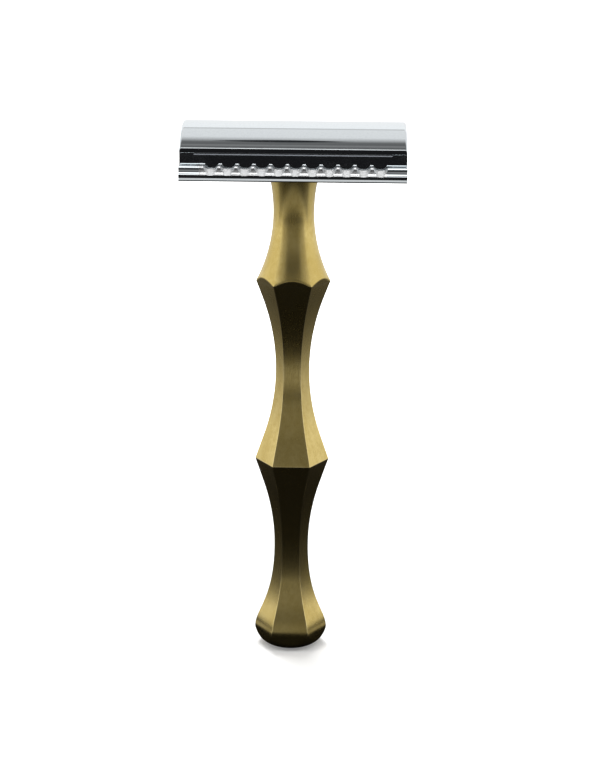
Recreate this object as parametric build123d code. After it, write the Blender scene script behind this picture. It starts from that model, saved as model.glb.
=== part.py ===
from build123d import *

import math
import os

# Double-edge safety razor, millimetres. The origin is the centre of the handle's foot, +Z runs up the handle,
# and X runs along the head. The razor stands closed, with the head screwed down on the blade.

# Handle, bar brass: hexagonal, with concave facets between sharp rings, and a turned neck under the head.
# Radii of the hexagonal stretches are measured to their corners.
FOOT_RADIUS = 4.0
HEEL_Z = 3.1
HEEL_RADIUS = 7.4
HEEL_ROUND = 4.64
HEEL_SWEEP = 3.7
LOWER_WAIST_Z = 21.2
LOWER_WAIST_RADIUS = 3.45
LOWER_WAIST_SWEEP = 12.0
LOWER_RING_Z = 39.6
LOWER_RING_RADIUS = 7.42
UPPER_WAIST_Z = 58.2
UPPER_WAIST_RADIUS = 3.38
UPPER_RING_Z = 76.1
UPPER_RING_RADIUS = 7.33
UPPER_RUN_OUT = 4.0
FACET_CURVE = 47.0
NECK_Z = 90.0
NECK_RADIUS = 4.02
NECK_CURVE = 30.0
TURNING_RADIUS = 7.65
SEAT_Z = 99.0
SEAT_GAP = 0.03
SEAT_CHAMFER = 0.25
FACETS = 6
FACET_REACH = 10.0

# M5 screw that holds the head: a plain shank stands for its thread.
STUD_RADIUS = 2.45
STUD_BOTTOM_Z = 92.3
STUD_TOP_Z = 106.6
STUD_CHAMFER = 0.5
TAPPED_RADIUS = 2.5
TAPPED_BOTTOM_Z = 85.5
DRILL_POINT = 1.4

# Head, seen from its end: everything is bent round one axis, which lies along X.
HEAD_LENGTH = 43.0
BEND_CENTRE_Z = 82.3
BEND_RADIUS = 22.5
BLADE_THICKNESS = 0.1
CLAMP_GAP = 0.05

# Blade, double-edged, of the common size. Widths are measured round the bend.
BLADE_LENGTH = 43.2
BLADE_WIDTH = 22.0
EDGE_LENGTH = 37.4
TAB_WIDTH = 13.2
BEVEL_WIDTH = 0.45
CENTRE_EYE_RADIUS = 3.7
POST_EYE_RADIUS = 2.6
SLOT_WIDTH = 3.5
SLOT_LENGTH = 35.4

# Top cap.
CAP_WIDTH = 20.5
CAP_CROWN_Z = 107.5
CAP_SHOULDER_Z = 103.38
CAP_END_ROUND = 0.45
CAP_RIM_ROUND = 0.16
CAP_LIP_ROUND = 0.06
POST_X = 14.4
POST_RADIUS = 1.6
POST_BOTTOM_Z = 101.6
POST_CHAMFER = 0.45
COLLAR_RADIUS = 3.25
COLLAR_BOTTOM_Z = 104.35

# Base plate.
SADDLE_HALF_WIDTH = 9.55
WEB_BOTTOM_Z = 101.4
BOSS_RADIUS = 6.6
BOSS_TAPER = 0.5
STUD_HOLE_RADIUS = 2.54
POST_HOLE_RADIUS = 1.69
COLLAR_HOLE_RADIUS = 3.34
COLLAR_HOLE_BOTTOM_Z = 104.2
BAR_BOTTOM_Z = 97.36
BAR_TOP_Z = 100.3
BAR_HALF_WIDTH = 12.3
SCALLOP_COUNT = 11
SCALLOP_PITCH = 3.19
SCALLOP_SHIFT = 0.5
SCALLOP_WIDTH = 2.7
SCALLOP_HEIGHT = 3.2
SCALLOP_ROUND = 1.05
SCALLOP_MIDDLE_Z = 100.47
SCALLOP_OUTSET = 0.2
SCALLOP_TILT = 42.0
SCALLOP_LENGTH = 4.6
DRAIN_COUNT = 3
DRAIN_PITCH = 11.6
DRAIN_LENGTH = 9.4
DRAIN_WIDTH = 1.05
DRAIN_Y = 10.25


def facet_apothem(corner_radius):
    """Distance from the axis to a facet, for a hexagon with the given corner radius."""
    return corner_radius * math.cos(math.pi / FACETS)


def swept_facet(waist, ring):
    """Edges from a waist to a ring: the cutter's arc, then a straight run-out tangent to it."""
    centre = (waist[0] + FACET_CURVE, waist[1])
    away = (ring[0] - centre[0], ring[1] - centre[1])
    towards_waist = 1 if ring[1] > waist[1] else -1
    angle = math.atan2(away[1], away[0]) + towards_waist * math.acos(FACET_CURVE / math.hypot(*away))
    leave = (centre[0] + FACET_CURVE * math.cos(angle), centre[1] + FACET_CURVE * math.sin(angle))
    return [TangentArc(waist, leave, tangent=(0, towards_waist)), Line(leave, ring)]


def prism_between_facets(angle):
    """The stock left between one opposite pair of facets, which are concave between the rings."""
    heel = facet_apothem(HEEL_RADIUS)
    lower_waist = (facet_apothem(LOWER_WAIST_RADIUS), LOWER_WAIST_Z)
    lower_ring = (facet_apothem(LOWER_RING_RADIUS), LOWER_RING_Z)
    upper_waist = (facet_apothem(UPPER_WAIST_RADIUS), UPPER_WAIST_Z)
    upper_ring = (facet_apothem(UPPER_RING_RADIUS), UPPER_RING_Z)
    below, above = -1.0, SEAT_Z + 1.0
    top_facet = swept_facet(upper_waist, upper_ring)
    run_out = top_facet[-1] @ 1 + UPPER_RUN_OUT * (top_facet[-1] % 1)
    flare = Bezier(
        (heel, HEEL_Z),
        (heel, HEEL_Z + HEEL_SWEEP),
        (lower_waist[0], LOWER_WAIST_Z - LOWER_WAIST_SWEEP),
        lower_waist,
    )
    right_side = [
        Line((0, below), (heel, below)),
        Line((heel, below), (heel, HEEL_Z)),
        flare,
        *swept_facet(lower_waist, lower_ring),
        *swept_facet(upper_waist, lower_ring),
        *top_facet,
        Line(upper_ring, run_out),
        Line(run_out, (run_out.X, above)),
        Line((run_out.X, above), (0, above)),
    ]
    left_side = [mirror(edge, about=Plane.YZ) for edge in right_side]
    outline = make_face(Curve() + right_side + left_side)
    return extrude(Plane.YZ.rotated((0, 0, angle)) * outline, amount=FACET_REACH, both=True)


def neck_radius(z):
    """Turned radius of the neck at height z."""
    rise = z - NECK_Z
    return NECK_RADIUS + NECK_CURVE - math.sqrt(NECK_CURVE**2 - rise**2)


def turned_blank():
    """The round envelope of the handle: foot, rounded heel, straight stock and flared neck."""
    top_z = SEAT_Z - SEAT_GAP
    flare_z = NECK_Z - math.sqrt(NECK_CURVE**2 - (NECK_CURVE + NECK_RADIUS - TURNING_RADIUS) ** 2)
    outline = Curve() + [
        Line((0, 0), (FOOT_RADIUS, 0)),
        RadiusArc((FOOT_RADIUS, 0), (HEEL_RADIUS, HEEL_Z), -HEEL_ROUND),
        Line((HEEL_RADIUS, HEEL_Z), (TURNING_RADIUS, HEEL_Z + HEEL_SWEEP)),
        Line((TURNING_RADIUS, HEEL_Z + HEEL_SWEEP), (TURNING_RADIUS, flare_z)),
        ThreePointArc(
            (TURNING_RADIUS, flare_z),
            (NECK_RADIUS, NECK_Z),
            (neck_radius(top_z), top_z),
        ),
        Line((neck_radius(top_z), top_z), (0, top_z)),
        Line((0, top_z), (0, 0)),
    ]
    return revolve(Plane.XZ * make_face(outline), Axis.Z)


def tapped_hole():
    """Blind hole for the stud, with its drill point and a countersunk mouth."""
    top_z = SEAT_Z + 0.5
    mouth = TAPPED_RADIUS + 0.45
    outline = Polyline(
        (0, TAPPED_BOTTOM_Z - DRILL_POINT),
        (TAPPED_RADIUS, TAPPED_BOTTOM_Z),
        (TAPPED_RADIUS, SEAT_Z - 0.5),
        (mouth, SEAT_Z - SEAT_GAP),
        (mouth, top_z),
        (0, top_z),
        close=True,
    )
    return revolve(Plane.XZ * make_face(outline), Axis.Z)


def make_handle():
    body = turned_blank()
    for side in range(FACETS // 2):
        body &= prism_between_facets(side * 360 / FACETS)
    top_rim = body.edges().filter_by(GeomType.CIRCLE).sort_by(Axis.Z)[-1]
    body = chamfer(top_rim, SEAT_CHAMFER)
    return body - tapped_hole()


def bend_z(radius, y):
    """Height at distance y from the middle, on a surface of the given radius about the bend axis."""
    return BEND_CENTRE_Z + math.sqrt(radius**2 - y**2)


def bend_arc(radius, half_width):
    """Arc about the bend axis, from +half_width over the crown to -half_width, in (Y, Z)."""
    z = bend_z(radius, half_width)
    return ThreePointArc((half_width, z), (0, BEND_CENTRE_Z + radius), (-half_width, z))


def along_x(outline, length):
    """Solid with the given (Y, Z) outline, centred on X = 0."""
    return extrude(Plane.YZ * make_face(outline), amount=length / 2, both=True)


def upright(radius, bottom_z, top_z, x=0.0, tip=0.0):
    """Round post or hole along Z, with an optional chamfered lower tip."""
    post = Pos(x, 0, (bottom_z + top_z) / 2) * Cylinder(radius, top_z - bottom_z)
    if tip:
        post = chamfer(post.edges().group_by(Axis.Z)[0], tip)
    return post


def make_stud():
    return upright(STUD_RADIUS, STUD_BOTTOM_Z, STUD_TOP_Z, tip=STUD_CHAMFER)


def make_cap():
    half = CAP_WIDTH / 2
    inner = BEND_RADIUS + BLADE_THICKNESS / 2 + CLAMP_GAP
    rim_z = bend_z(inner, half)
    outline = Curve() + [
        bend_arc(inner, half),
        Line((-half, rim_z), (-half, CAP_SHOULDER_Z)),
        ThreePointArc((-half, CAP_SHOULDER_Z), (0, CAP_CROWN_Z), (half, CAP_SHOULDER_Z)),
        Line((half, CAP_SHOULDER_Z), (half, rim_z)),
    ]
    shell = along_x(outline, HEAD_LENGTH)
    crown_ends = shell.edges().filter_by(GeomType.CIRCLE).filter_by(
        lambda edge: (edge @ 0.5).Z > CAP_CROWN_Z - 0.01
    )
    shell = fillet(crown_ends, CAP_END_ROUND)
    rims = shell.edges().filter_by(Axis.X).filter_by(lambda edge: abs((edge @ 0.5).Y) > half - 0.01)
    shell = fillet(rims.filter_by(lambda edge: (edge @ 0.5).Z > rim_z + 0.3), CAP_RIM_ROUND)
    lips = shell.edges().filter_by(Axis.X).filter_by(lambda edge: abs((edge @ 0.5).Z - rim_z) < 0.01)
    shell = fillet(lips, CAP_LIP_ROUND)
    underside_z = bend_z(inner, POST_RADIUS) + 0.3
    for x in (-POST_X, POST_X):
        shell += upright(POST_RADIUS, POST_BOTTOM_Z, underside_z, x, POST_CHAMFER)
    shell += upright(COLLAR_RADIUS, COLLAR_BOTTOM_Z, bend_z(inner, COLLAR_RADIUS) + 0.4)
    return shell - make_stud()


def round_the_bend(width):
    """Distance from the middle plane, across the bend, of a point half of width away along the sheet."""
    return BEND_RADIUS * math.sin(width / 2 / BEND_RADIUS)


def make_blade():
    tip_y = round_the_bend(BLADE_WIDTH)
    root_y = round_the_bend(BLADE_WIDTH - 2 * BEVEL_WIDTH)
    tip_z = bend_z(BEND_RADIUS, tip_y)
    outer = BEND_RADIUS + BLADE_THICKNESS / 2
    inner = BEND_RADIUS - BLADE_THICKNESS / 2
    outline = Curve() + [
        bend_arc(outer, root_y),
        Line((-root_y, bend_z(outer, root_y)), (-tip_y, tip_z)),
        Line((-tip_y, tip_z), (-root_y, bend_z(inner, root_y))),
        bend_arc(inner, root_y),
        Line((root_y, bend_z(inner, root_y)), (tip_y, tip_z)),
        Line((tip_y, tip_z), (root_y, bend_z(outer, root_y))),
    ]
    sheet = along_x(outline, BLADE_LENGTH)
    plan = Rectangle(EDGE_LENGTH, BLADE_WIDTH) + Rectangle(BLADE_LENGTH, 2 * round_the_bend(TAB_WIDTH))
    plan = fillet(plan.vertices().filter_by(lambda v: abs(v.X) > BLADE_LENGTH / 2 - 0.01), 0.8)
    plan -= SlotOverall(SLOT_LENGTH, SLOT_WIDTH)
    plan -= Circle(CENTRE_EYE_RADIUS)
    for x in (-POST_X, POST_X):
        plan -= Pos(x, 0) * Circle(POST_EYE_RADIUS)
    stamp = extrude(Pos(0, 0, BEND_CENTRE_Z) * plan, amount=2 * BEND_RADIUS)
    return sheet & stamp


def plate_outline():
    """End view of the base plate: saddle, drain channels and safety bars round one web."""
    saddle = BEND_RADIUS - BLADE_THICKNESS / 2 - CLAMP_GAP
    saddle_z = bend_z(saddle, SADDLE_HALF_WIDTH)
    bar = BAR_HALF_WIDTH
    right_side = [
        Line((SADDLE_HALF_WIDTH, saddle_z), (bar - 2.68, BAR_TOP_Z - 0.75)),
        ThreePointArc(
            (bar - 2.68, BAR_TOP_Z - 0.75), (bar - 2.6, BAR_TOP_Z - 1.0), (bar - 2.35, BAR_TOP_Z - 1.1)
        ),
        Line((bar - 2.35, BAR_TOP_Z - 1.1), (bar - 1.75, BAR_TOP_Z - 1.1)),
        ThreePointArc(
            (bar - 1.75, BAR_TOP_Z - 1.1), (bar - 1.35, BAR_TOP_Z - 0.9), (bar - 1.2, BAR_TOP_Z - 0.5)
        ),
        Line((bar - 1.2, BAR_TOP_Z - 0.5), (bar - 1.1, BAR_TOP_Z - 0.3)),
        ThreePointArc((bar - 1.1, BAR_TOP_Z - 0.3), (bar - 0.6, BAR_TOP_Z), (bar - 0.1, BAR_TOP_Z - 0.3)),
        ThreePointArc(
            (bar - 0.1, BAR_TOP_Z - 0.3), (bar - 0.45, BAR_TOP_Z - 0.95), (bar - 0.05, BAR_TOP_Z - 1.58)
        ),
        Line((bar - 0.05, BAR_TOP_Z - 1.58), (bar, BAR_TOP_Z - 1.66)),
        Line((bar, BAR_TOP_Z - 1.66), (bar - 0.19, BAR_BOTTOM_Z + 0.62)),
        Line((bar - 0.19, BAR_BOTTOM_Z + 0.62), (bar, BAR_BOTTOM_Z + 0.28)),
        ThreePointArc(
            (bar, BAR_BOTTOM_Z + 0.28), (bar - 0.1, BAR_BOTTOM_Z + 0.08), (bar - 0.35, BAR_BOTTOM_Z)
        ),
        Line((bar - 0.35, BAR_BOTTOM_Z), (bar - 1.2, BAR_BOTTOM_Z)),
        ThreePointArc(
            (bar - 1.2, BAR_BOTTOM_Z), (bar - 1.6, BAR_BOTTOM_Z + 0.55), (bar - 2.2, BAR_BOTTOM_Z + 0.8)
        ),
        Line((bar - 2.2, BAR_BOTTOM_Z + 0.8), (bar - 3.1, BAR_BOTTOM_Z + 0.9)),
        ThreePointArc(
            (bar - 3.1, BAR_BOTTOM_Z + 0.9), (bar - 3.85, BAR_BOTTOM_Z + 1.3), (bar - 4.1, BAR_BOTTOM_Z + 2.2)
        ),
        Line((bar - 4.1, BAR_BOTTOM_Z + 2.2), (bar - 4.3, WEB_BOTTOM_Z - 0.9)),
        ThreePointArc(
            (bar - 4.3, WEB_BOTTOM_Z - 0.9), (bar - 4.7, WEB_BOTTOM_Z - 0.22), (bar - 5.4, WEB_BOTTOM_Z)
        ),
        Line((bar - 5.4, WEB_BOTTOM_Z), (0, WEB_BOTTOM_Z)),
    ]
    left_side = [mirror(edge, about=Plane.YZ) for edge in right_side]
    return Curve() + [bend_arc(saddle, SADDLE_HALF_WIDTH), *right_side, *left_side]


def spread(count, pitch):
    """Evenly spaced places, centred on zero."""
    return [(index - (count - 1) / 2) * pitch for index in range(count)]


def make_base_plate():
    plate = along_x(plate_outline(), HEAD_LENGTH)
    boss = Pos(0, 0, (SEAT_Z + WEB_BOTTOM_Z) / 2 + 0.5) * Cylinder(BOSS_RADIUS, WEB_BOTTOM_Z - SEAT_Z + 1)
    plate += chamfer(boss.edges().group_by(Axis.Z)[0], BOSS_TAPER)
    scoop = extrude(
        RectangleRounded(SCALLOP_WIDTH, SCALLOP_HEIGHT, SCALLOP_ROUND), amount=SCALLOP_LENGTH / 2, both=True
    )
    for x in spread(SCALLOP_COUNT, SCALLOP_PITCH):
        for side in (-1, 1):
            place = Pos(x - side * SCALLOP_SHIFT, side * (BAR_HALF_WIDTH + SCALLOP_OUTSET), SCALLOP_MIDDLE_Z)
            plate -= place * Rot(90 - side * SCALLOP_TILT, 0, 0) * scoop
    for x in spread(DRAIN_COUNT, DRAIN_PITCH):
        for side in (-1, 1):
            slot = extrude(SlotOverall(DRAIN_LENGTH, DRAIN_WIDTH), amount=BAR_TOP_Z - BAR_BOTTOM_Z)
            plate -= Pos(x, side * DRAIN_Y, BAR_BOTTOM_Z) * slot
    plate -= upright(STUD_HOLE_RADIUS, SEAT_Z - 1, COLLAR_HOLE_BOTTOM_Z + 1)
    plate -= upright(COLLAR_HOLE_RADIUS, COLLAR_HOLE_BOTTOM_Z, CAP_CROWN_Z)
    for x in (-POST_X, POST_X):
        plate -= upright(POST_HOLE_RADIUS, WEB_BOTTOM_Z - 1, CAP_CROWN_Z, x)
    return plate


os.makedirs("parts", exist_ok=True)
export_step(make_handle(), "parts/handle.step")
export_step(make_base_plate(), "parts/base_plate.step")
export_step(make_blade(), "parts/blade.step")
export_step(make_cap(), "parts/top_cap.step")
export_step(make_stud(), "parts/threaded_stud.step")
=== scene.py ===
import math

import bmesh
import bpy
from mathutils import Matrix, Vector


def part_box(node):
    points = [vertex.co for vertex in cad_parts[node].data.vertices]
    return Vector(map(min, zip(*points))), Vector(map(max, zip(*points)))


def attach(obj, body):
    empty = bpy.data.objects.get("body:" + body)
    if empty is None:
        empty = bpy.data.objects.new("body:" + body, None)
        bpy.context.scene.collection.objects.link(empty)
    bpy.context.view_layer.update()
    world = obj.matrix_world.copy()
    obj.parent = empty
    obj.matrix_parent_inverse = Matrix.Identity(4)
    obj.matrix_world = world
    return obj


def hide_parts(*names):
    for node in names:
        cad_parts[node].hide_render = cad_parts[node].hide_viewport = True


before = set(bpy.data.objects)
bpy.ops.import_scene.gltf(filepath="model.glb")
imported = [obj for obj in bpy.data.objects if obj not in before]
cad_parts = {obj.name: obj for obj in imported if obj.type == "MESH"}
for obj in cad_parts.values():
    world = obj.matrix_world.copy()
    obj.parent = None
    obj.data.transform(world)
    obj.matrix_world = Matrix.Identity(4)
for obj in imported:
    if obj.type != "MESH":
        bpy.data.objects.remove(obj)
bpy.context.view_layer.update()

MM = 0.001

# Handle, in millimetres, as the CAD model has it, except that the blind bore is a little shallower inside.
FACETS = 6
FOOT_RADIUS = 4.0
HEEL_Z = 3.1
HEEL_RADIUS = 7.4
HEEL_ROUND = 4.64
HEEL_SWEEP = 3.7
LOWER_WAIST_Z = 21.2
LOWER_WAIST_RADIUS = 3.45
LOWER_WAIST_SWEEP = 12.0
LOWER_RING_Z = 39.6
LOWER_RING_RADIUS = 7.42
UPPER_WAIST_Z = 58.2
UPPER_WAIST_RADIUS = 3.38
UPPER_RING_Z = 76.1
UPPER_RING_RADIUS = 7.33
UPPER_RUN_OUT = 4.0
FACET_CURVE = 47.0
NECK_Z = 90.0
NECK_RADIUS = 4.02
NECK_CURVE = 30.0
TOP_CHAMFER = 0.25
BORE_RADIUS = 2.5
BORE_DEPTH = 13.17
DRILL_POINT = 1.2
MOUTH_RADIUS = 2.95
MOUTH_DEPTH = 0.5
HANDLE_TOP_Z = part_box("handle")[1].z / MM

# Edge rounding that a hand-finished bar has.
CORNER_ROUND = 0.13
RING_ROUND = 0.05
FLARE_ROUND = 0.04
HEEL_BLEND = 0.12

# Rows and columns of the handle's mesh. FINEST_ROWS is the row spacing at each height with a tight bend.
POINTS_PER_CORNER = 24
ROUND_START, ROUND_END = 0.3, 0.7
ROW_GROWTH = 0.16
FINE_ROW, COARSE_ROW = 0.16, 0.7
FINE_BELOW_Z = 7.0
FINEST_ROWS = (
    (0.0, 0.06),
    (HEEL_Z, 0.05),
    (LOWER_RING_Z, 0.025),
    (UPPER_RING_Z, 0.025),
    (HANDLE_TOP_Z, 0.05),
)


# ---------------------------------------------------------------- node helpers


class Tree:
    """Short ways to add and join shader nodes in one node tree."""

    def __init__(self, tree):
        self.tree = tree
        tree.nodes.clear()

    def add(self, kind, **settings):
        node = self.tree.nodes.new(kind)
        for name, value in settings.items():
            setattr(node, name, value)
        return node

    def join(self, source, target):
        if isinstance(source, (int, float, tuple)):
            target.default_value = source
        else:
            self.tree.links.new(source, target)

    def math(self, operation, *values):
        node = self.add("ShaderNodeMath", operation=operation)
        for value, socket in zip(values, node.inputs):
            self.join(value, socket)
        return node.outputs[0]

    def vector(self, operation, *values):
        node = self.add("ShaderNodeVectorMath", operation=operation)
        for value, socket in zip(values, node.inputs):
            self.join(value, socket)
        return node.outputs[0]

    def split(self, vector):
        node = self.add("ShaderNodeSeparateXYZ")
        self.join(vector, node.inputs[0])
        return node.outputs

    def product(self, *values):
        result = values[0]
        for value in values[1:]:
            result = self.math("MULTIPLY", result, value)
        return result

    def flat_length(self, x, y):
        """Length of the flat vector (x, y)."""
        return self.math("SQRT", self.math("ADD", self.product(x, x), self.product(y, y)))

    def step(self, value, start, end, at_start=0.0, at_end=1.0):
        """Smooth ramp from at_start to at_end, as value goes from start to end, up or down."""
        node = self.add("ShaderNodeMapRange", interpolation_type="SMOOTHSTEP")
        for given, socket in zip((value, start, end, at_start, at_end), node.inputs):
            self.join(given, socket)
        return node.outputs[0]

    def ramp(self, value, stops):
        """Ramp of greys through (place, grey) stops."""
        node = self.add("ShaderNodeValToRGB")
        elements = node.color_ramp.elements
        while len(elements) < len(stops):
            elements.new(0.5)
        for element, (place, grey) in zip(elements, stops):
            element.position = place
            element.color = (grey, grey, grey, 1.0)
        self.join(value, node.inputs[0])
        return node.outputs[0]

    def noise(self, vector, scale, detail=3.0, roughness=0.55):
        node = self.add("ShaderNodeTexNoise")
        self.join(vector, node.inputs["Vector"])
        self.join(scale, node.inputs["Scale"])
        self.join(detail, node.inputs["Detail"])
        self.join(roughness, node.inputs["Roughness"])
        return node.outputs[0]

    def mix(self, factor, first, second):
        node = self.add("ShaderNodeMix", data_type="RGBA")
        self.join(factor, node.inputs[0])
        for value, socket in ((first, node.inputs[6]), (second, node.inputs[7])):
            self.join((*value, 1.0) if isinstance(value, tuple) else value, socket)
        return node.outputs[2]

    def bump(self, height, strength, distance_mm, normal=None):
        node = self.add("ShaderNodeBump")
        self.join(strength, node.inputs["Strength"])
        self.join(distance_mm * MM, node.inputs["Distance"])
        self.join(height, node.inputs["Height"])
        if normal is not None:
            self.join(normal, node.inputs["Normal"])
        return node.outputs[0]


def millimetres(tree):
    """Object coordinates in millimetres."""
    place = tree.add("ShaderNodeTexCoord").outputs["Object"]
    return tree.vector("MULTIPLY", place, (1 / MM, 1 / MM, 1 / MM))


def stretched(tree, place, x, y, z):
    return tree.vector("MULTIPLY", place, (x, y, z))


def new_material(name):
    material = bpy.data.materials.new(name)
    material.use_nodes = True
    return material, Tree(material.node_tree)


def metal(tree, colour, roughness, normal, anisotropy=0.0, tangent_axis=None):
    shader = tree.add("ShaderNodeBsdfPrincipled")
    shader.inputs["Metallic"].default_value = 1.0
    shader.inputs["Anisotropic"].default_value = anisotropy
    tree.join(colour, shader.inputs["Base Color"])
    tree.join(roughness, shader.inputs["Roughness"])
    tree.join(normal, shader.inputs["Normal"])
    if tangent_axis:
        tangent = tree.add("ShaderNodeTangent", direction_type="RADIAL", axis=tangent_axis)
        tree.join(tangent.outputs[0], shader.inputs["Tangent"])
    output = tree.add("ShaderNodeOutputMaterial")
    tree.join(shader.outputs[0], output.inputs["Surface"])


# ------------------------------------------------------------------- materials


def near(tree, value, place, reach):
    """1 where value is at place, falling to 0 at reach away from it."""
    gap = tree.math("ABSOLUTE", tree.math("SUBTRACT", value, place))
    return tree.step(gap, 0.0, reach, 1.0, 0.0)


def brass_material():
    material, tree = new_material("satin_brass")
    place = millimetres(tree)
    x, y, z = tree.split(place)
    clean, aged, dirt, bare = (0.76, 0.60, 0.235), (0.63, 0.475, 0.15), (0.46, 0.33, 0.09), (0.86, 0.70, 0.33)

    # Corners and rings that handling has rubbed bright.
    radius = tree.flat_length(x, y)
    sector = math.tau / FACETS
    turn = tree.math("WRAP", tree.math("ARCTAN2", y, x), sector / 2, -sector / 2)
    edge_gap = tree.product(tree.math("ABSOLUTE", turn), radius)
    faceted = tree.step(z, UPPER_RING_Z + 0.6, UPPER_RING_Z - 0.2)
    edge = tree.product(tree.step(edge_gap, 0.0, 0.34, 1.0, 0.0), faceted)
    for ring in (LOWER_RING_Z, UPPER_RING_Z):
        edge = tree.math("MAXIMUM", edge, near(tree, z, ring, 0.3))
    chips = tree.noise(place, 1.9, 5.0, 0.7)
    wear = tree.product(edge, tree.step(chips, 0.38, 0.62, 0.35, 1.0))

    cloud = tree.noise(stretched(tree, place, 1.0, 1.0, 0.45), 0.16, 4.0, 0.6)
    mottle = tree.noise(place, 0.9, 5.0, 0.62)
    streak = tree.noise(stretched(tree, place, 9.0, 9.0, 0.35), 1.0, 4.0, 0.65)
    fine = tree.noise(stretched(tree, place, 30.0, 30.0, 1.2), 1.0, 2.0, 0.5)
    patches = tree.math("ADD", tree.product(cloud, 0.65), tree.product(mottle, 0.35))
    tarnish = tree.step(patches, 0.36, 0.66)

    colour = tree.mix(tarnish, clean, aged)
    colour = tree.mix(tree.step(streak, 0.3, 0.7, 0.0, 0.2), colour, dirt)
    colour = tree.mix(tree.product(wear, 0.8), colour, bare)

    rough = tree.step(streak, 0.25, 0.75, 0.15, 0.24)
    rough = tree.math("ADD", rough, tree.product(tarnish, 0.05))
    rough = tree.math("SUBTRACT", rough, tree.product(wear, 0.08))

    # Brushing along the facets, and the lathe's rings on the foot.
    brushed = tree.math("ADD", tree.product(streak, 0.7), tree.product(fine, 0.5))
    rings = tree.product(tree.math("SINE", tree.product(radius, 34.0)), tree.step(z, 1.0, 0.05))
    normal = tree.bump(brushed, 0.32, 0.012)
    normal = tree.bump(rings, 0.3, 0.01, normal)
    metal(tree, colour, rough, normal, 0.35, "Z")
    return material


def chrome_material():
    material, tree = new_material("polished_chrome")
    place = millimetres(tree)
    x, y, z = tree.split(place)
    smudge = tree.noise(stretched(tree, place, 0.6, 1.0, 1.0), 0.22, 4.0, 0.6)
    haze = tree.noise(place, 2.6, 5.0, 0.7)
    hairline = tree.noise(stretched(tree, place, 0.7, 26.0, 26.0), 1.0, 3.0, 0.6)
    grit = tree.noise(place, 3.4, 4.0, 0.6)
    # The scallops are too small to buff, so their plating is rougher than the rest. Their colour is also
    # painted near white in patches, a painted highlight.
    scoops = tree.product(
        tree.step(tree.math("ABSOLUTE", x), 17.8, 17.5),
        tree.step(tree.math("ABSOLUTE", y), 10.3, 10.6),
        tree.step(z, 98.45, 98.6),
    )
    rough = tree.step(smudge, 0.42, 0.7, 0.03, 0.06)
    rough = tree.math("ADD", rough, tree.step(hairline, 0.6, 0.78, 0.0, 0.02))
    rough = tree.math("ADD", rough, tree.product(scoops, tree.step(grit, 0.3, 0.7, 0.26, 0.4)))
    bright, dull, scoop_painted_highlight = (0.83, 0.875, 0.90), (0.78, 0.825, 0.85), (0.98, 0.98, 0.98)
    colour = tree.mix(tree.step(haze, 0.4, 0.72), bright, dull)
    # Painted highlight: the scallops' colour is mixed towards near white, in patches set by the grit noise.
    colour = tree.mix(tree.product(scoops, tree.step(grit, 0.8, 0.3, 0.4, 1.0)), colour, scoop_painted_highlight)
    normal = tree.bump(hairline, 0.02, 0.003)
    normal = tree.bump(tree.product(scoops, grit), 0.3, 0.05, normal)
    metal(tree, colour, rough, normal)
    return material


def blade_material():
    material, tree = new_material("rolled_steel")
    place = millimetres(tree)
    _, y, _ = tree.split(place)
    lines = tree.noise(stretched(tree, place, 0.4, 22.0, 22.0), 1.0, 4.0, 0.6)
    cloud = tree.noise(place, 0.5)
    ground = tree.step(tree.math("ABSOLUTE", y), 10.05, 10.2)
    bright, dull, bevel_painted_shade = (0.68, 0.69, 0.70), (0.56, 0.57, 0.59), (0.16, 0.165, 0.18)
    colour = tree.mix(tree.step(cloud, 0.35, 0.7), bright, dull)
    # Painted shade: the ground edge past the cap is coloured near black.
    colour = tree.mix(ground, colour, bevel_painted_shade)
    rough = tree.step(lines, 0.3, 0.7, 0.14, 0.26)
    rough = tree.math("ADD", rough, tree.product(ground, 0.08))
    metal(tree, colour, rough, tree.bump(lines, 0.2, 0.006), 0.3, "X")
    return material


def stud_material():
    material, tree = new_material("plated_thread")
    place = millimetres(tree)
    cloud = tree.noise(place, 1.3, 4.0, 0.6)
    grain = tree.noise(stretched(tree, place, 5.0, 5.0, 20.0), 1.0)
    bright, dull = (0.70, 0.70, 0.68), (0.48, 0.47, 0.44)
    colour = tree.mix(tree.step(cloud, 0.35, 0.68), bright, dull)
    rough = tree.step(grain, 0.3, 0.7, 0.2, 0.34)
    metal(tree, colour, rough, tree.bump(grain, 0.2, 0.01))
    return material


# ---------------------------------------------------------------------- handle


def soft_least(first, second, blend):
    """The smaller of two lengths, with the corner between them rounded."""
    gap = first - second
    return (first + second - math.sqrt(gap * gap + blend * blend)) / 2


def apothem(corner_radius):
    return corner_radius * math.cos(math.pi / FACETS)


def swept_distance(waist, ring, z):
    """Distance of a facet from the axis: the cutter's arc at the waist, then a straight run past the ring."""
    centre = (waist[0] + FACET_CURVE, waist[1])
    away = (ring[0] - centre[0], ring[1] - centre[1])
    towards_waist = 1 if ring[1] > waist[1] else -1
    angle = math.atan2(away[1], away[0]) + towards_waist * math.acos(FACET_CURVE / math.hypot(*away))
    leave = (centre[0] + FACET_CURVE * math.cos(angle), centre[1] + FACET_CURVE * math.sin(angle))
    if (z - leave[1]) * towards_waist > 0:
        return leave[0] + (ring[0] - leave[0]) * (z - leave[1]) / (ring[1] - leave[1])
    return centre[0] - math.sqrt(FACET_CURVE**2 - (z - centre[1]) ** 2)


def flare_distance(z):
    """Distance of a facet from the axis between the heel and the lower waist, along a Bezier."""
    heel, waist = apothem(HEEL_RADIUS), apothem(LOWER_WAIST_RADIUS)
    heights = (HEEL_Z, HEEL_Z + HEEL_SWEEP, LOWER_WAIST_Z - LOWER_WAIST_SWEEP, LOWER_WAIST_Z)
    low, high = 0.0, 1.0
    for _ in range(30):
        t = (low + high) / 2
        weights = ((1 - t) ** 3, 3 * (1 - t) ** 2 * t, 3 * (1 - t) * t * t, t**3)
        if sum(weight * height for weight, height in zip(weights, heights)) < z:
            low = t
        else:
            high = t
    return heel * (weights[0] + weights[1]) + waist * (weights[2] + weights[3])


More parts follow.
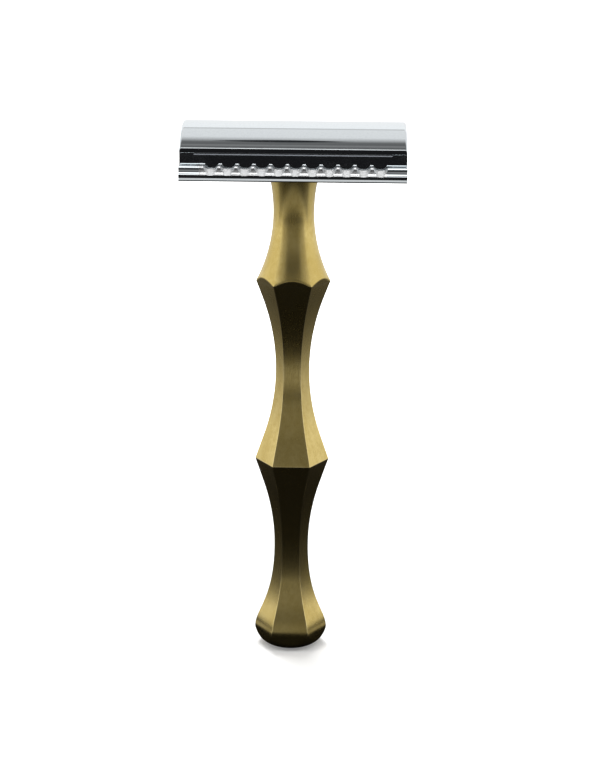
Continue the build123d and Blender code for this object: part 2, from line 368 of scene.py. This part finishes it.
LOWER_WAIST = (apothem(LOWER_WAIST_RADIUS), LOWER_WAIST_Z)
LOWER_RING = (apothem(LOWER_RING_RADIUS), LOWER_RING_Z)
UPPER_WAIST = (apothem(UPPER_WAIST_RADIUS), UPPER_WAIST_Z)
UPPER_RING = (apothem(UPPER_RING_RADIUS), UPPER_RING_Z)


def facet_distance(z):
    """Distance from the axis to the middle of a facet at height z, with the lower ring a little rounded."""
    if z <= HEEL_Z:
        return apothem(HEEL_RADIUS)
    if z < LOWER_WAIST_Z:
        return flare_distance(z)
    if z < UPPER_WAIST_Z:
        # Both facets are carried on past the ring, so that the corner between them can be rounded.
        overlap = 2
        below = swept_distance(LOWER_WAIST, LOWER_RING, min(z, LOWER_RING_Z + overlap))
        above = swept_distance(UPPER_WAIST, LOWER_RING, max(z, LOWER_RING_Z - overlap))
        return soft_least(below, above, RING_ROUND)
    return swept_distance(UPPER_WAIST, UPPER_RING, min(z, UPPER_RING_Z + UPPER_RUN_OUT))


def dome_distance(z):
    """Radius of the rounded underside of the heel, an arc from the foot to the corners of the hexagon."""
    chord = (HEEL_RADIUS - FOOT_RADIUS, HEEL_Z)
    length = math.hypot(*chord)
    bulge = math.sqrt(HEEL_ROUND**2 - length**2 / 4) / length
    centre_r = FOOT_RADIUS + chord[0] / 2 - chord[1] * bulge
    centre_z = chord[1] / 2 + chord[0] * bulge
    return centre_r + math.sqrt(HEEL_ROUND**2 - (z - centre_z) ** 2)


def neck_distance(z):
    """Radius of the turned neck at height z."""
    return NECK_RADIUS + NECK_CURVE - math.sqrt(NECK_CURVE**2 - (z - NECK_Z) ** 2)


def turned_distance(z):
    """Radius of the turned blank at height z. Between heel and neck it lies outside the facets."""
    if z < HEEL_Z + HEEL_SWEEP:
        return dome_distance(z)
    if z < UPPER_RING_Z - 5:
        return HEEL_RADIUS + 0.5
    rim_cone = neck_distance(HANDLE_TOP_Z) - TOP_CHAMFER + (HANDLE_TOP_Z - z)
    return soft_least(neck_distance(z), rim_cone, FLARE_ROUND)


def hexagon_point(distance, turn):
    """Point on a hexagon with rounded corners, whose facets lie at the given distance from the middle.

    turn runs from 0 to 1 round one corner: along half a facet, round the corner, and along half the next.
    """
    inner = distance - CORNER_ROUND
    half_angle = math.pi / FACETS
    corner = Vector((inner / math.cos(half_angle), 0.0))
    if ROUND_START <= turn <= ROUND_END:
        angle = (turn - 0.5) / (ROUND_END - 0.5) * half_angle
        return corner + Vector((math.cos(angle), math.sin(angle))) * CORNER_ROUND
    side = -1.0 if turn < 0.5 else 1.0
    normal = Vector((math.cos(half_angle), side * math.sin(half_angle)))
    along = Vector((math.sin(half_angle), -side * math.cos(half_angle)))
    share = (abs(turn - 0.5) - (ROUND_END - 0.5)) / ROUND_START
    edge_length = inner * math.tan(half_angle)
    return corner + normal * CORNER_ROUND - along * edge_length * share


def handle_heights():
    """Heights of the rows of vertices: close together at the rings, heel and rim."""
    heights, z = [0.0], 0.0
    while z < HANDLE_TOP_Z - 0.03:
        step = min(finest + ROW_GROWTH * abs(z - place) for place, finest in FINEST_ROWS)
        curved = z < FINE_BELOW_Z or UPPER_RING_Z < z < UPPER_RING_Z + UPPER_RUN_OUT
        z += min(step, FINE_ROW if curved else COARSE_ROW)
        heights.append(min(z, HANDLE_TOP_Z))
    heights[-1] = HANDLE_TOP_Z
    return heights


def mesh_object(name, vertices, faces, material):
    mesh = bpy.data.meshes.new(name)
    mesh.from_pydata([tuple(Vector(v) * MM) for v in vertices], [], faces)
    work = bmesh.new()
    work.from_mesh(mesh)
    bmesh.ops.recalc_face_normals(work, faces=work.faces)
    work.to_mesh(mesh)
    work.free()
    mesh.shade_smooth()
    mesh.materials.append(material)
    piece = bpy.data.objects.new(name, mesh)
    bpy.context.scene.collection.objects.link(piece)
    return piece


def capped_tube(rows):
    """Vertices and faces of a closed tube through rows of equally many points."""
    count = len(rows[0])
    vertices = [point for row in rows for point in row]
    faces = []
    for r in range(len(rows) - 1):
        for c in range(count):
            d = (c + 1) % count
            faces.append((r * count + c, r * count + d, (r + 1) * count + d, (r + 1) * count + c))
    faces.append(tuple(range(count)))
    faces.append(tuple(range(len(vertices) - count, len(vertices))))
    return vertices, faces


def handle_row(z):
    """Points round the handle at height z: a hexagon, cut off by the turned blank."""
    flat, round_limit = facet_distance(z), turned_distance(z)
    blend = HEEL_BLEND if z < HEEL_Z + 2 else FLARE_ROUND
    row = []
    for corner in range(FACETS):
        for i in range(POINTS_PER_CORNER):
            point = hexagon_point(flat, i / POINTS_PER_CORNER)
            point = point.normalized() * soft_least(point.length, round_limit, blend)
            point.rotate(Matrix.Rotation(corner * math.tau / FACETS, 2))
            row.append((point.x, point.y, z))
    return row


def round_row(row, radius, z):
    """Points on a circle at height z, in line with the points of another row."""
    return [(x * radius / math.hypot(x, y), y * radius / math.hypot(x, y), z) for x, y, _ in row]


def make_handle(material):
    rows = [handle_row(z) for z in handle_heights()]
    foot_radius = turned_distance(0.0)
    foot = [round_row(rows[0], foot_radius * share, 0.0) for share in (0.06, 0.4, 0.75, 0.96)]
    bore = [
        (4.0, 0.0),
        (MOUTH_RADIUS, 0.0),
        (BORE_RADIUS, MOUTH_DEPTH),
        (BORE_RADIUS, BORE_DEPTH),
        (0.1, BORE_DEPTH + DRILL_POINT),
    ]
    mouth = [round_row(rows[-1], radius, HANDLE_TOP_Z - depth) for radius, depth in bore]
    piece = mesh_object("handle_finished", *capped_tube(foot + rows + mouth), material)
    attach(piece, "handle")
    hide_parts("handle")


# ------------------------------------------------------------------------ stud

STUD_RADIUS = 2.45
STUD_TIP = 0.55
THREAD_PITCH = 0.8
THREAD_DEPTH = 0.43
ROOT_SHARE = 0.12
FLANK_SHARE = 0.72
THREAD_POINTS = 36
ROWS_PER_PITCH = 12


def thread_radius(rise, turn):
    """Radius of the thread at a rise above the stud's tip, a share turn of the way round."""
    phase = (rise / THREAD_PITCH - turn) % 1.0
    crest = min(max((abs(phase - 0.5) * 2 - ROOT_SHARE) / FLANK_SHARE, 0.0), 1.0)
    return min(STUD_RADIUS - THREAD_DEPTH * (1 - crest), STUD_RADIUS - STUD_TIP + rise)


def make_stud(material):
    low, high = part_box("threaded_stud")
    bottom, height = low.z / MM, (high.z - low.z) / MM
    levels = int(height / THREAD_PITCH * ROWS_PER_PITCH)
    rows = []
    for level in range(levels + 1):
        rise = height * level / levels
        row = []
        for i in range(THREAD_POINTS):
            turn = i / THREAD_POINTS
            angle = math.tau * turn
            radius = thread_radius(rise, turn)
            row.append((radius * math.cos(angle), radius * math.sin(angle), bottom + rise))
        rows.append(row)
    piece = mesh_object("stud_thread", *capped_tube(rows), material)
    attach(piece, "cap")
    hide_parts("threaded_stud")


# ----------------------------------------------------------------------- stage


def make_floor():
    """Pale floor that fades to white through painted light, seen by the camera alone."""
    material, tree = new_material("pale_floor")
    place = millimetres(tree)
    x, y, _ = tree.split(place)
    radius = tree.flat_length(x, y)
    diffuse = tree.add("ShaderNodeBsdfDiffuse")
    tree.join((0.72, 0.72, 0.715, 1.0), diffuse.inputs[0])
    glow = tree.add("ShaderNodeEmission")
    # Painted light: the floor glows, little close round the razor and more further out, so it fades to white.
    tree.join(tree.step(radius, 40.0, 330.0, 0.2, 0.8), glow.inputs[1])
    both = tree.add("ShaderNodeAddShader")
    tree.join(diffuse.outputs[0], both.inputs[0])
    tree.join(glow.outputs[0], both.inputs[1])
    output = tree.add("ShaderNodeOutputMaterial")
    tree.join(both.outputs[0], output.inputs["Surface"])
    bpy.ops.mesh.primitive_circle_add(vertices=96, radius=6.0, fill_type="NGON")
    floor = bpy.context.object
    floor.name = "pale_floor"
    floor.data.materials.append(material)
    floor.visible_glossy = False
    floor.visible_diffuse = False


def make_table_card():
    """Dark glossy table top that only reflections see, with patches of painted light where it glows. Its
    sizes are in metres.
    """
    material, tree = new_material("table_card")
    place = millimetres(tree)
    x, y, _ = tree.split(place)
    ahead = tree.product(y, -1.0)
    reach = tree.flat_length(x, y)
    # Lit table in front, from short of the camera to past it, and again far beyond.
    front = tree.product(tree.step(ahead, 150.0, 215.0), tree.step(ahead, 640.0, 320.0))
    front = tree.math("ADD", front, tree.step(ahead, 1380.0, 1520.0, 0.0, 0.8))
    # Lit table on both sides, level with the razor and behind it.
    sides = tree.product(tree.step(tree.math("ABSOLUTE", x), 120.0, 250.0), tree.step(ahead, 60.0, -20.0))
    # Painted reflection: the card glows in a ring close round the foot, but not in front of it, standing in
    # for light caught in the gloss.
    halo = tree.product(tree.step(reach, 17.0, 21.0), tree.step(reach, 42.0, 29.0))
    halo = tree.product(halo, tree.step(ahead, 16.0, 8.0, 0.0, 0.38))
    light = tree.math("ADD", tree.product(front, 0.27), tree.product(sides, 0.34))
    light = tree.math("ADD", light, halo)
    gloss = tree.product(tree.step(ahead, 380.0, 600.0, 0.5, 0.0), tree.step(reach, 40.0, 240.0))
    shader = tree.add("ShaderNodeBsdfPrincipled")
    tree.join((0.012, 0.012, 0.013, 1.0), shader.inputs["Base Color"])
    tree.join(0.22, shader.inputs["Roughness"])
    tree.join(1.6, shader.inputs["IOR"])
    tree.join(gloss, shader.inputs["Specular IOR Level"])
    tree.join((1.0, 1.0, 1.0, 1.0), shader.inputs["Emission Color"])
    tree.join(light, shader.inputs["Emission Strength"])
    output = tree.add("ShaderNodeOutputMaterial")
    tree.join(shader.outputs[0], output.inputs["Surface"])
    half, front_end, back_end, low = 1.2, -1.6, 0.5, -0.0002
    mesh = bpy.data.meshes.new("table_card")
    corners = [(-half, front_end, low), (half, front_end, low), (half, back_end, low), (-half, back_end, low)]
    mesh.from_pydata(corners, [], [(0, 1, 2, 3)])
    mesh.materials.append(material)
    card = bpy.data.objects.new("table_card", mesh)
    bpy.context.scene.collection.objects.link(card)
    card.visible_camera = False
    card.visible_diffuse = False
    card.visible_shadow = False


# Light round the X axis: (degrees, grey). 0 is the backdrop's horizon, 90 is overhead and 180 is the horizon
# behind the camera. A white backdrop, panels with dark gaps between them, and a darker room in front.
STUDIO_BANDS = (
    (-90, 0.05),
    (-30, 0.9),
    (44, 1.0),
    (46.5, 0.5),
    (49, 0.82),
    (70, 0.8),
    (76, 0.48),
    (81, 0.15),
    (86, 0.13),
    (88, 0.26),
    (90, 0.1),
    (92.5, 0.5),
    (95, 0.06),
    (98, 0.06),
    (100, 2.3),
    (122, 2.3),
    (132, 0.18),
    (150, 0.09),
    (158, 0.12),
    (166, 0.23),
    (183, 0.23),
    (184.5, 0.012),
    (200, 0.02),
    (269, 0.05),
)


def studio_bands(tree, turn):
    """The bands of light, by the angle turn round the X axis."""
    first, whole = STUDIO_BANDS[0][0], 360.0
    stops = [((degrees - first) / whole, light) for degrees, light in STUDIO_BANDS]
    return tree.ramp(tree.math("DIVIDE", tree.math("SUBTRACT", turn, float(first)), whole), stops)


def panel_gap(tree, x, turn):
    """1 in a dark gap between two overhead panels, which tapers to its ends."""
    middle_x, half_length, middle_turn, half_height = -0.0295, 0.043, 79.0, 3.0
    spread = tree.product(tree.math("SUBTRACT", x, middle_x), 1.0 / half_length)
    taper = tree.math("SUBTRACT", 1.0, tree.product(spread, spread))
    reach = tree.math("MAXIMUM", tree.product(taper, half_height), 0.001)
    off = tree.math("ABSOLUTE", tree.math("SUBTRACT", turn, middle_turn))
    return tree.step(tree.math("SUBTRACT", reach, off), 0.0, 1.2)


def make_world():
    """The studio's bands of light, with grey flanks in front and white ones at the sides."""
    world = bpy.data.worlds.new("studio")
    bpy.context.scene.world = world
    world.use_nodes = True
    tree = Tree(world.node_tree)
    direction = tree.add("ShaderNodeTexCoord").outputs["Generated"]
    x, y, z = tree.split(direction)
    dark, grey, white = (0.025, 0.026, 0.028), (0.42, 0.42, 0.42), (1.0, 1.0, 1.0)
    turn = tree.product(tree.math("ARCTAN2", z, y), 180.0 / math.pi)
    turn = tree.math("WRAP", turn, 270.0, -90.0)
    band = tree.mix(panel_gap(tree, x, turn), studio_bands(tree, turn), dark)
    # How far a direction points to the side, from 0 to 1, how low it is, and whether it is behind the razor.
    level = tree.math("MAXIMUM", tree.flat_length(x, y), 0.001)
    aside = tree.math("DIVIDE", tree.math("ABSOLUTE", x), level)
    low = tree.step(z, 0.8, 0.5)
    behind = tree.step(y, -0.25, 0.1)
    glow = tree.mix(tree.product(tree.step(aside, 0.42, 0.66), low), band, grey)
    glow = tree.mix(tree.product(behind, low), glow, band)
    glow = tree.mix(tree.product(tree.step(aside, 0.74, 0.97), low), glow, white)
    from_camera = tree.add("ShaderNodeLightPath").outputs["Is Camera Ray"]
    glow = tree.mix(from_camera, glow, white)
    background = tree.add("ShaderNodeBackground")
    tree.join(glow, background.inputs[0])
    output = tree.add("ShaderNodeOutputWorld")
    tree.join(background.outputs[0], output.inputs["Surface"])


def make_lamp():
    """Large soft lamp above and behind, whose shadow falls towards the camera."""
    data = bpy.data.lights.new("soft_lamp", "AREA")
    data.shape = "DISK"
    data.size = 0.5
    data.energy = 9.0
    lamp = bpy.data.objects.new("soft_lamp", data)
    bpy.context.scene.collection.objects.link(lamp)
    place, target = Vector((-0.12, 0.45, 0.75)), Vector((0.0, 0.0, 0.02))
    lamp.location = place
    lamp.rotation_euler = (target - place).to_track_quat("-Z", "Y").to_euler()
    lamp.visible_glossy = False


def make_camera():
    """Camera just to the right of the head's middle, looking down the razor."""
    side_deg, pitch_deg, roll_deg = 1.2, 14.59, 0.48
    distance, height, aim_offset = 0.3406, 0.1448, 0.0005
    long_side_px, focal_px, sensor = 758.0, 1758.7, 36.0
    data = bpy.data.cameras.new("camera")
    data.sensor_width = sensor
    data.lens = focal_px / long_side_px * sensor
    data.clip_start = 0.01
    camera = bpy.data.objects.new("camera", data)
    bpy.context.scene.collection.objects.link(camera)
    yaw = Matrix.Rotation(math.radians(side_deg), 4, "Z")
    tilt = Matrix.Rotation(math.radians(90.0 - pitch_deg), 4, "X")
    roll = Matrix.Rotation(math.radians(roll_deg), 4, "Z")
    place = yaw @ Matrix.Translation((aim_offset, -distance, height))
    camera.matrix_world = place @ tilt @ roll
    bpy.context.scene.camera = camera


# --------------------------------------------------------------------- the set

bpy.context.scene.view_settings.view_transform = "Standard"

brass = brass_material()
chrome = chrome_material()
finishes = {"base_plate": chrome, "top_cap": chrome, "blade": blade_material()}
for node, finish in finishes.items():
    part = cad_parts[node]
    for slot in part.material_slots:
        slot.material = finish

make_handle(brass)
make_stud(stud_material())
make_floor()
make_table_card()
make_world()
make_lamp()
make_camera()
